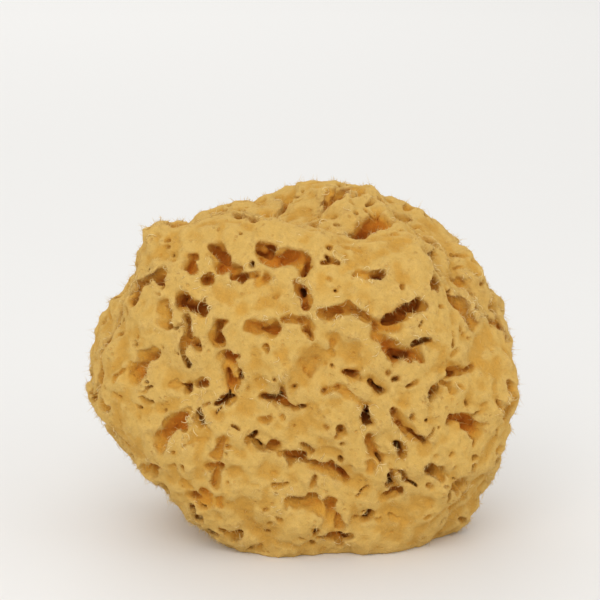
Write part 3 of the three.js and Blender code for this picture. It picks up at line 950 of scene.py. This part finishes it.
    def thinned(self, points: Array, quads: Array) -> tuple[Array, Array]:
        """Return the largest island of a surface as triangles within the budget, facing out."""
        quads = quads[largest_island(len(points), quads)]
        used, renumbered = np.unique(quads, return_inverse=True)
        rough = mesh_object("rough_surface", points[used], renumbered.reshape(-1, 4))
        LOG.info("the carved surface has %d quads", len(quads))
        thinner = rough.modifiers.new("thinner", "DECIMATE")
        thinner.ratio = min(1, self.most_triangles / (2 * len(quads)))
        thinner.use_collapse_triangulate = True
        mesh = bpy.data.meshes.new_from_object(rough.evaluated_get(bpy.context.evaluated_depsgraph_get()))
        places = np.empty(len(mesh.vertices) * 3, np.float32)
        mesh.vertices.foreach_get("co", places)
        corners = np.empty(len(mesh.loop_triangles) * 3, np.int32)
        mesh.loop_triangles.foreach_get("vertices", corners)
        places = places.reshape(-1, 3).astype(float)
        triangles = corners.reshape(-1, 3).astype(np.int64)
        bpy.data.meshes.remove(rough.data)
        bpy.data.meshes.remove(mesh)
        volume = (places[triangles[:, 0]] * facing(places, triangles)).sum()
        return places, triangles if volume > 0 else triangles[:, ::-1]

    def depth_under(self, points: Array, quads: Array, places: Array) -> Array:
        """Return how far places lie under the uncut surface, in mm, up to the deepest furrow."""
        coarse = Lattice.around(points, self.coarse_margin, self.coarse_step)
        return -coarse.sample(coarse.filled(points, quads, self.coarse_band), places)


def wrapped(rows: Array) -> tuple[Array, Array]:
    """Return rows of points round an axis as points and the quads between them."""
    count, columns = rows.shape[:2]
    index = np.arange(count * columns).reshape(count, columns)
    beside = np.roll(index, -1, axis=1)
    quads = np.stack([index[:-1], index[1:], beside[1:], beside[:-1]], axis=-1)
    return rows.reshape(-1, 3), quads.reshape(-1, 4)


class Sector(Enum):
    """The three parts that the skin is made in, side by side round the upright axis."""

    FRONT = "front"
    LEFT = "left"
    RIGHT = "right"


@dataclass
class Skin:
    """The sponge's fine surface, made in three parts that meet without a gap."""

    surface: Surface

    def build(self) -> list[bpy.types.Object]:
        """Return the three parts."""
        middle = self.surface.points[self.surface.triangles].mean(1)
        turn = np.arctan2(middle[:, 0], -middle[:, 1])
        edge = np.quantile(np.abs(turn), 1 / 3)
        chosen = {
            Sector.FRONT: np.abs(turn) <= edge,
            Sector.LEFT: turn < -edge,
            Sector.RIGHT: turn > edge,
        }
        return [self.surface.object(f"sponge_skin_{part.value}", mask) for part, mask in chosen.items()]


def threads(name: str, lines: Array, thickness: Array, tip: float = 0.45) -> bpy.types.Object:
    """Return one mesh of many fine three-sided threads that taper to a point.

    Args:
        name: the object's name.
        lines: the threads' courses in mm: thread, point along it, x y z.
        thickness: each thread's radius at its root, in mm.
        tip: the share of that radius that is left just before the point.

    Returns:
        The object that holds all the threads.
    """
    count, steps = lines.shape[:2]
    heading = unit(np.gradient(lines, axis=1))
    helper = np.where(np.abs(heading[..., 2:3]) < 0.8, [0.0, 0.0, 1.0], [1.0, 0.0, 0.0])
    side = unit(np.cross(heading, helper))
    other = np.cross(heading, side)
    radius = thickness[:, None, None] * np.linspace(1, tip, steps)[None, :, None]
    corners = [
        lines + radius * (side * math.cos(turn) + other * math.sin(turn))
        for turn in (0, 2 * math.pi / 3, 4 * math.pi / 3)
    ]
    body = np.stack(corners, axis=2)[:, :-1].reshape(count, -1, 3)
    points = np.concatenate([body, lines[:, -1:]], axis=1)
    faces = []
    for ring in range(steps - 2):
        for corner in range(3):
            low = 3 * ring + corner
            beside = 3 * ring + (corner + 1) % 3
            faces += [(low, beside, beside + 3), (low, beside + 3, low + 3)]
    last = 3 * (steps - 2)
    faces += [(last + corner, last + (corner + 1) % 3, points.shape[1] - 1) for corner in range(3)]
    every = np.array(faces)[None] + (np.arange(count) * points.shape[1])[:, None, None]
    return mesh_object(name, points.reshape(-1, 3) * MM, every.reshape(-1, 3))


@dataclass
class Fuzz:
    """The short fibre ends that stand out of the skin, densest on its rims. Lengths are in mm."""

    surface: Surface
    per_piece: int = 20500
    pieces: int = 2
    length: Span = (0.3, 0.85)
    short_bias: float = 1.5
    rim_length: float = 0.7
    rim_short_bias: float = 2
    thickness: Span = (0.035, 0.07)
    front_liking: float = 1.6
    flat_liking: float = 0.25
    rim_liking: float = 4
    rim_from: Span = (0.5, 0.25)
    long_rim_from: Span = (0.5, 0.2)
    thinned_out: float = 0.9
    thinned_between: Span = (1, 4)
    clear_of_base: float = 0.4
    scatter: float = 0.55
    bend: float = 0.9
    rooted: float = 0.1
    least_height: float = 0.05
    points_each: int = 3
    seed: int = 21

    def build(self) -> list[bpy.types.Object]:
        """Return the fuzz as a few meshes."""
        rng = np.random.default_rng(self.seed)
        rim = smoothstep(self.surface.marks["hollow"], *self.rim_from)
        shallow = 1 - self.thinned_out * smoothstep(self.surface.marks["depth"], *self.thinned_between)
        liking = self.surface.favoured(self.front_liking, self.clear_of_base)
        liking = liking * (self.flat_liking + self.rim_liking * rim) * shallow
        return [self.piece(f"sponge_fuzz_{n + 1}", liking, rng) for n in range(self.pieces)]

    def piece(self, name: str, liking: Array, rng: Random) -> bpy.types.Object:
        """Return one mesh of the fuzz.

        Args:
            name: the piece's name.
            liking: a weight for each point of the surface.
            rng: the seeded source.

        Returns:
            The piece.
        """
        roots = self.surface.strewn(self.per_piece, liking, rng)
        rim = smoothstep(roots.hollow, *self.long_rim_from)
        reach = within(self.length, rng.random(self.per_piece) ** self.short_bias)
        reach += self.rim_length * rim * rng.random(self.per_piece) ** self.rim_short_bias
        heading = unit(roots.outward + self.scatter * rng.standard_normal((self.per_piece, 3)))
        bend = self.bend * rng.standard_normal((self.per_piece, 3))
        t = np.linspace(0, 1, self.points_each)[None, :, None]
        lines = (roots.places - self.rooted * roots.outward)[:, None]
        lines = lines + reach[:, None, None] * (t * heading[:, None] + t * t * bend[:, None])
        lines[..., 2] = np.maximum(lines[..., 2], self.least_height)
        return threads(name, lines, rng.uniform(*self.thickness, self.per_piece))


@dataclass
class Curls:
    """The long loose fibres that curl off the rims, most of them on the broad face, in mm."""

    surface: Surface
    block: Block
    count: int = 700
    steps: int = 11
    length: Span = (1.4, 5.5)
    short_bias: float = 1.8
    bend_radius: Span = (0.4, 1.2)
    tight_bias: float = 1.5
    thickness: Span = (0.07, 0.11)
    tip: float = 0.7
    front_liking: float = 1.5
    rim_from: Span = (0.4, 0.2)
    deepest: float = 2.5
    clear_of_base: float = 2
    per_place: int = 12
    nearest: int = 400
    depth_counts: float = 0.6
    hollow_counts: float = 4
    lean: float = 0.75
    axis_scatter: float = 0.35
    wobble: float = 0.3
    rooted: float = 0.15
    least_height: float = 0.1
    seed: int = 33

    def build(self) -> bpy.types.Object:
        """Return all the curls as one mesh."""
        rng = np.random.default_rng(self.seed)
        rim = smoothstep(self.surface.marks["hollow"], *self.rim_from)
        liking = self.surface.favoured(self.front_liking, self.clear_of_base) * rim
        roots = self.surface.strewn(self.count, liking * (self.surface.marks["depth"] < self.deepest), rng)
        placed = self.at_places(rng)
        places = np.concatenate([roots.places, placed.places])
        outward = np.concatenate([roots.outward, placed.outward])
        lines = self.courses(places, outward, rng)
        return threads("sponge_curls", lines, rng.uniform(*self.thickness, len(lines)), self.tip)

    def at_places(self, rng: Random) -> Roots:
        """Return roots on the skin round each listed place of the broad face."""
        chosen = []
        marks = self.surface.marks
        for x, z in CURL_PLACES:
            centre = self.block.surface(self.block.face_direction(x, z)[None])[0]
            away = np.linalg.norm(self.surface.points - centre, axis=1)
            unfit = away + self.depth_counts * marks["depth"] + self.hollow_counts * marks["hollow"]
            best = np.argpartition(unfit, self.nearest)[: self.nearest]
            chosen.append(rng.choice(best, self.per_place, replace=False))
        return self.surface.at(np.concatenate(chosen))

    def courses(self, places: Array, outward: Array, rng: Random) -> Array:
        """Return the fibres' courses: arcs that leave the skin, turn over and come back to it.

        Args:
            places: the roots in mm, in rows.
            outward: the skin's direction at each root.
            rng: the seeded source.

        Returns:
            The points along each fibre, in mm.
        """
        count = len(places)
        aside = unit(np.cross(outward, rng.standard_normal((count, 3))))
        heading = unit(self.lean * outward + aside)
        axis = unit(np.cross(heading, outward) + self.axis_scatter * rng.standard_normal((count, 3)))
        length = within(self.length, rng.random(count) ** self.short_bias)
        turn = length / self.steps / within(self.bend_radius, rng.random(count) ** self.tight_bias)
        lines = [places - self.rooted * outward]
        for _ in range(self.steps):
            lines.append(lines[-1] + heading * (length / self.steps)[:, None])
            round_axis = unit(axis + self.wobble * rng.standard_normal((count, 3)))
            heading = unit(heading - turn[:, None] * np.cross(round_axis, heading))
        course = np.stack(lines, axis=1)
        course[..., 2] = np.maximum(course[..., 2], self.least_height)
        return course


class Wiring:
    """Short ways to add and join the nodes of one tree."""

    def __init__(self, tree: bpy.types.NodeTree) -> None:
        """Keep the tree that the nodes go into."""
        self.tree = tree

    def add(self, kind: str, fed: dict | None = None, **values: object) -> bpy.types.Node:
        """Return a new node with its own properties set and some of its slots fed."""
        node = self.tree.nodes.new(kind)
        for name, value in values.items():
            setattr(node, name, value)
        for slot, value in (fed or {}).items():
            self.feed(value, node.inputs[slot])
        return node

    def feed(self, value: object, slot: Socket) -> None:
        """Link a socket to a slot, or set the slot to a plain value."""
        if isinstance(value, Socket):
            self.tree.links.new(value, slot)
        else:
            slot.default_value = value

    def noise(self, place: Socket, scale: object, detail: float = 3) -> Socket:
        """Return a noise value from 0 to 1 at a scale in crests a metre."""
        fed = {"Detail": detail, "Scale": scale, "Vector": place}
        return self.add("ShaderNodeTexNoise", fed).outputs["Fac"]

    def place(self) -> Socket:
        """Return the place on the object, in its own metres."""
        return self.add("ShaderNodeTexCoord").outputs["Object"]

    def mark(self, label: str) -> Socket:
        """Return the number that is stored at the surface's points under a label."""
        return self.add("ShaderNodeAttribute", attribute_name=label).outputs["Fac"]

    def math(self, kind: str, a: object, b: object) -> Socket:
        """Return the result of one sum on sockets or numbers."""
        return self.add("ShaderNodeMath", {0: a, 1: b}, operation=kind).outputs[0]

    def remap(self, value: Socket, *ends: float) -> Socket:
        """Return a value moved from one range to another, held at the ends."""
        slots = ("Value", "From Min", "From Max", "To Min", "To Max")
        return self.add("ShaderNodeMapRange", dict(zip(slots, (value, *ends)))).outputs["Result"]

    def blend(self, share: object, a: object, b: object) -> Socket:
        """Return two colours mixed by a share."""
        # The mix node keeps its colours' share in slot 0 and the two colours in slots 6 and 7.
        return self.add("ShaderNodeMix", {0: share, 6: a, 7: b}, data_type="RGBA").outputs[2]

    def shade(self, colour: Socket, value: Socket) -> Socket:
        """Return a colour made lighter or darker by a factor."""
        fed = {"Value": value, "Color": colour}
        return self.add("ShaderNodeHueSaturation", fed).outputs["Color"]


@dataclass(frozen=True)
class MattedFibre:
    """The look of matted fibre: a bump height, a mottling and a mask of pinholes.

    Scales are in crests a metre. A pinhole lies in the middle of each cell, in some patches only.
    """

    fibre_scale: float = 2300
    clump_scale: float = 700
    pinhole_scale: float = 620
    patch_scale: float = 290
    patch_edge: Span = (0.54, 0.66)
    pinhole_edge: Span = (0.05, 0.34)
    fibre_share: float = 0.6

    def build(self) -> bpy.types.NodeTree:
        """Return the shader group."""
        group = bpy.data.node_groups.new("matted_fibre", "ShaderNodeTree")
        scales = {
            "Fibre Scale": self.fibre_scale,
            "Clump Scale": self.clump_scale,
            "Pinhole Scale": self.pinhole_scale,
        }
        for label, scale in scales.items():
            socket = group.interface.new_socket(label, in_out="INPUT", socket_type="NodeSocketFloat")
            socket.default_value = scale
        for label in ("Height", "Mottle", "Pinholes"):
            group.interface.new_socket(label, in_out="OUTPUT", socket_type="NodeSocketFloat")
        wire = Wiring(group)
        given = wire.add("NodeGroupInput").outputs
        place = wire.place()
        fibre = wire.noise(place, given["Fibre Scale"], 2)
        clump = wire.noise(place, given["Clump Scale"], 2)
        cells = wire.add("ShaderNodeTexVoronoi", {"Vector": place, "Scale": given["Pinhole Scale"]})
        hole = wire.remap(cells.outputs["Distance"], *self.pinhole_edge, 1, 0)
        patch = wire.remap(wire.noise(place, self.patch_scale, 1), *self.patch_edge, 0, 1)
        pinholes = wire.math("MULTIPLY", hole, patch)
        height = wire.math("ADD", wire.math("MULTIPLY", fibre, self.fibre_share), clump)
        results = {
            "Height": wire.math("SUBTRACT", height, pinholes),
            "Mottle": wire.math("MULTIPLY", wire.math("ADD", fibre, clump), 0.5),
            "Pinholes": pinholes,
        }
        wire.add("NodeGroupOutput", results)
        return group


def painted(name: str, constants: dict) -> tuple[bpy.types.Material, Wiring, bpy.types.Node]:
    """Return a new material, the wiring of its tree and its shader.

    Args:
        name: the material's name.
        constants: the values of the shader's own slots, by their labels.

    Returns:
        The material, the wiring and the shader.
    """
    made = bpy.data.materials.new(name)
    made.use_nodes = True
    shader = made.node_tree.nodes["Principled BSDF"]
    for label, value in constants.items():
        shader.inputs[label].default_value = value
    return made, Wiring(made.node_tree), shader


@dataclass(frozen=True)
class SkinColourAndPaintedLight:
    """Dry sponge skin: straw, with a painted highlight on its rims, painted shade in gold and honey in its
    dips, a painted amber glow on the walls of its holes, and browner fibre deeper in, rust to umber,
    darkened with painted shade.
    """

    # Painted light is in these colours: pale is a painted highlight on the crests; gold and honey are
    # painted shade in the dips; amber is a painted glow on the hole walls; rust and umber are the browner
    # fibre deeper in, with painted shade.
    pale: Colour = (0.66, 0.44, 0.145, 1)
    straw: Colour = (0.6, 0.375, 0.1, 1)
    gold: Colour = (0.55, 0.31, 0.066, 1)
    honey_shade: Colour = (0.53, 0.28, 0.048, 1)
    amber_glow: Colour = (0.63, 0.315, 0.042, 1)
    rust_shade: Colour = (0.59, 0.205, 0.018, 1)
    umber_shade: Colour = (0.45, 0.135, 0.015, 1)
    roughness: float = 0.95
    specular: float = 0.12
    sheen: float = 0.15
    sheen_roughness: float = 0.6
    bump_depth: float = 0.00035
    dip_scale: float = 150
    dip_drift: Span = (-0.14, 0.14)
    depth_scale: float = 160
    depth_drift: Span = (0.7, 1.3)
    mottling: Span = (0.88, 1.1)

    def build(self, felt: bpy.types.NodeTree) -> bpy.types.Material:
        """Return the skin's material, with the matted fibre group in it."""
        constants = {
            "Roughness": self.roughness,
            "Specular IOR Level": self.specular,
            "Sheen Weight": self.sheen,
            "Sheen Roughness": self.sheen_roughness,
            "Sheen Tint": self.straw,
        }
        made, wire, shader = painted("sponge_skin_colour_and_painted_light", constants)
        texture = wire.add("ShaderNodeGroup", node_tree=felt)
        wire.feed(self.colour(wire, texture), shader.inputs["Base Color"])
        fed = {"Distance": self.bump_depth, "Height": texture.outputs["Height"]}
        wire.feed(wire.add("ShaderNodeBump", fed).outputs["Normal"], shader.inputs["Normal"])
        return made

    def colour(self, wire: Wiring, texture: bpy.types.Node) -> Socket:
        """Return the skin's colour from its depth, its hollows and the fibre's mottling, with painted
        highlight on the crests, painted shade in the dips, pinholes and holes, and a painted glow on the
        hole walls.
        """
        place = wire.place()
        hollow, dip, depth = (wire.mark(label) for label in ("hollow", "dip", "depth"))
        # The dip mark, with random drift, places the painted shade in gold and honey.
        drift = wire.remap(wire.noise(place, self.dip_scale, 4), *NOISE_RANGE, *self.dip_drift)
        low = wire.math("ADD", dip, drift)
        # The depth, with random drift, places the painted glow and the deeper painted shade in the holes.
        drift = wire.remap(wire.noise(place, self.depth_scale), *NOISE_RANGE, *self.depth_drift)
        glow_and_shade_depth = wire.math("MULTIPLY", depth, drift)
        # What decides each coat, where it begins, where it is full, how full that is, and its colour.
        coats = (
            # Painted shade: the dips are darkened to gold and honey.
            (low, 0.36, 0.5, 1, self.gold),
            (low, 0.48, 0.7, 0.8, self.honey_shade),
            # Painted highlight: the crests are made pale.
            (hollow, 0.48, 0.25, 0.7, self.pale),
            # Painted glow in amber on the hole walls, over fibre that is browner inside; deeper, rust and
            # umber add painted shade and painted bounce light that reddens it.
            (glow_and_shade_depth, 0.1, 2.2, 0.9, self.amber_glow),
            (glow_and_shade_depth, 2, 5, 0.95, self.rust_shade),
            (glow_and_shade_depth, 4.8, 8, 0.85, self.umber_shade),
            # Painted shade in the pinholes.
            (texture.outputs["Pinholes"], 0, 1, 0.35, self.rust_shade),
        )
        colour = self.straw
        for value, begins, full, most, coat in coats:
            colour = wire.blend(wire.remap(value, begins, full, 0, most), colour, coat)
        return wire.shade(colour, wire.remap(texture.outputs["Mottle"], *NOISE_RANGE, *self.mottling))


@dataclass(frozen=True)
class FibreFinish:
    """Loose fibre: pale straw with a little difference from place to place."""

    name: str
    pale: Colour = (0.76, 0.54, 0.2, 1)
    gold: Colour = (0.63, 0.4, 0.11, 1)
    roughness: float = 0.7
    specular: float = 0.25
    patch_scale: float = 420
    patch_edge: Span = (0.35, 0.65)

    def build(self) -> bpy.types.Material:
        """Return the fibre's material."""
        constants = {"Roughness": self.roughness, "Specular IOR Level": self.specular}
        made, wire, shader = painted(self.name, constants)
        share = wire.remap(wire.noise(wire.place(), self.patch_scale), *self.patch_edge, 0, 1)
        wire.feed(wire.blend(share, self.gold, self.pale), shader.inputs["Base Color"])
        return made


class Light(Enum):
    """The studio's lights: where each stands and its side, both in metres, and its power."""

    KEY = ((-0.25, -1.0, 0.85), 0.9, 5.8)
    FILL = ((0.9, -0.8, 0.45), 0.9, 1.8)
    BACK = ((-0.4, 1.6, 1.3), 1.4, 7)


def stand(name: str, data: bpy.types.ID, place: Vector, look: Vector) -> bpy.types.Object:
    """Return a light or camera that stands at a place and looks along a direction."""
    made = bpy.data.objects.new(name, data)
    made.location = place
    made.rotation_euler = look.to_track_quat("-Z", "Y").to_euler()
    bpy.context.scene.collection.objects.link(made)
    return made


@dataclass
class Studio:
    """A pale floor, soft lights and the camera at the photograph's viewing angle."""

    floor_side: float = 6
    floor_colour: Colour = (0.8, 0.795, 0.785, 1)
    floor_roughness: float = 0.9
    lit_point: tuple[float, float, float] = (0, 0, 0.05)
    surround_colour: Colour = (1, 0.99, 0.97, 1)
    surround: float = 0.84
    px_per_mm: float = 4.0
    distance: float = 0.55
    elevation: float = 13
    aim: tuple[float, float, float] = (-0.0015, -0.036, 0.0707)
    frame_px: int = 600
    sensor_width: float = 36

    def build(self) -> None:
        """Set up the floor, the lights, the surroundings and the camera."""
        self.floor()
        for light in Light:
            self.lamp(light)
        self.surroundings()
        self.camera()

    def floor(self) -> None:
        """Lay the floor under the object."""
        half = self.floor_side / 2
        corners = np.array([[-half, -half, 0], [half, -half, 0], [half, half, 0], [-half, half, 0]])
        laid = mesh_object("floor", corners, np.array([[0, 1, 2, 3]]))
        constants = {"Base Color": self.floor_colour, "Roughness": self.floor_roughness}
        laid.data.materials.append(painted("floor_paint", constants)[0])

    def lamp(self, light: Light) -> None:
        """Hang one soft light."""
        place, side, power = light.value
        data = bpy.data.lights.new(light.name.lower(), "AREA")
        data.shape = "SQUARE"
        data.size = side
        data.energy = power
        stand(light.name.lower(), data, Vector(place), Vector(self.lit_point) - Vector(place))

    def surroundings(self) -> None:
        """Light the scene evenly from all round."""
        world = bpy.data.worlds.new("studio")
        world.use_nodes = True
        background = world.node_tree.nodes["Background"]
        background.inputs["Color"].default_value = self.surround_colour
        background.inputs["Strength"].default_value = self.surround
        bpy.context.scene.world = world
        bpy.context.scene.view_settings.view_transform = "Standard"

    def camera(self) -> None:
        """Stand the camera where the photograph was taken from."""
        tilt = math.radians(self.elevation)
        back = Vector((0, -math.cos(tilt), math.sin(tilt)))
        data = bpy.data.cameras.new("camera")
        data.sensor_width = self.sensor_width
        data.lens = self.px_per_mm / MM * self.distance * self.sensor_width / self.frame_px
        place = Vector(self.aim) + back * self.distance
        bpy.context.scene.camera = stand("camera", data, place, -back)


def dress(piece: bpy.types.Object, finish: bpy.types.Material) -> None:
    """Give a piece its finish, let it ride on the body and report it."""
    piece.data.materials.append(finish)
    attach(piece, BODY)
    LOG.info("%s: %d triangles", piece.name, len(piece.data.polygons))


def main() -> None:
    """Build the sponge and its studio in order."""
    logging.basicConfig(level=logging.INFO, format="%(message)s")
    carver = Carver()
    surface = carver.carve()
    skin_colour_and_light = SkinColourAndPaintedLight().build(MattedFibre().build())
    for piece in Skin(surface).build():
        dress(piece, skin_colour_and_light)
        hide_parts(NODE)
    fuzz_finish = FibreFinish("sponge_fuzz_finish").build()
    for piece in Fuzz(surface).build():
        dress(piece, fuzz_finish)
    curls = Curls(surface, carver.block).build()
    curl_finish = FibreFinish("sponge_curl_finish", pale=(0.9, 0.72, 0.37, 1), gold=(0.78, 0.56, 0.22, 1))
    dress(curls, curl_finish.build())
    Studio().build()


if __name__ == "__main__":
    main()
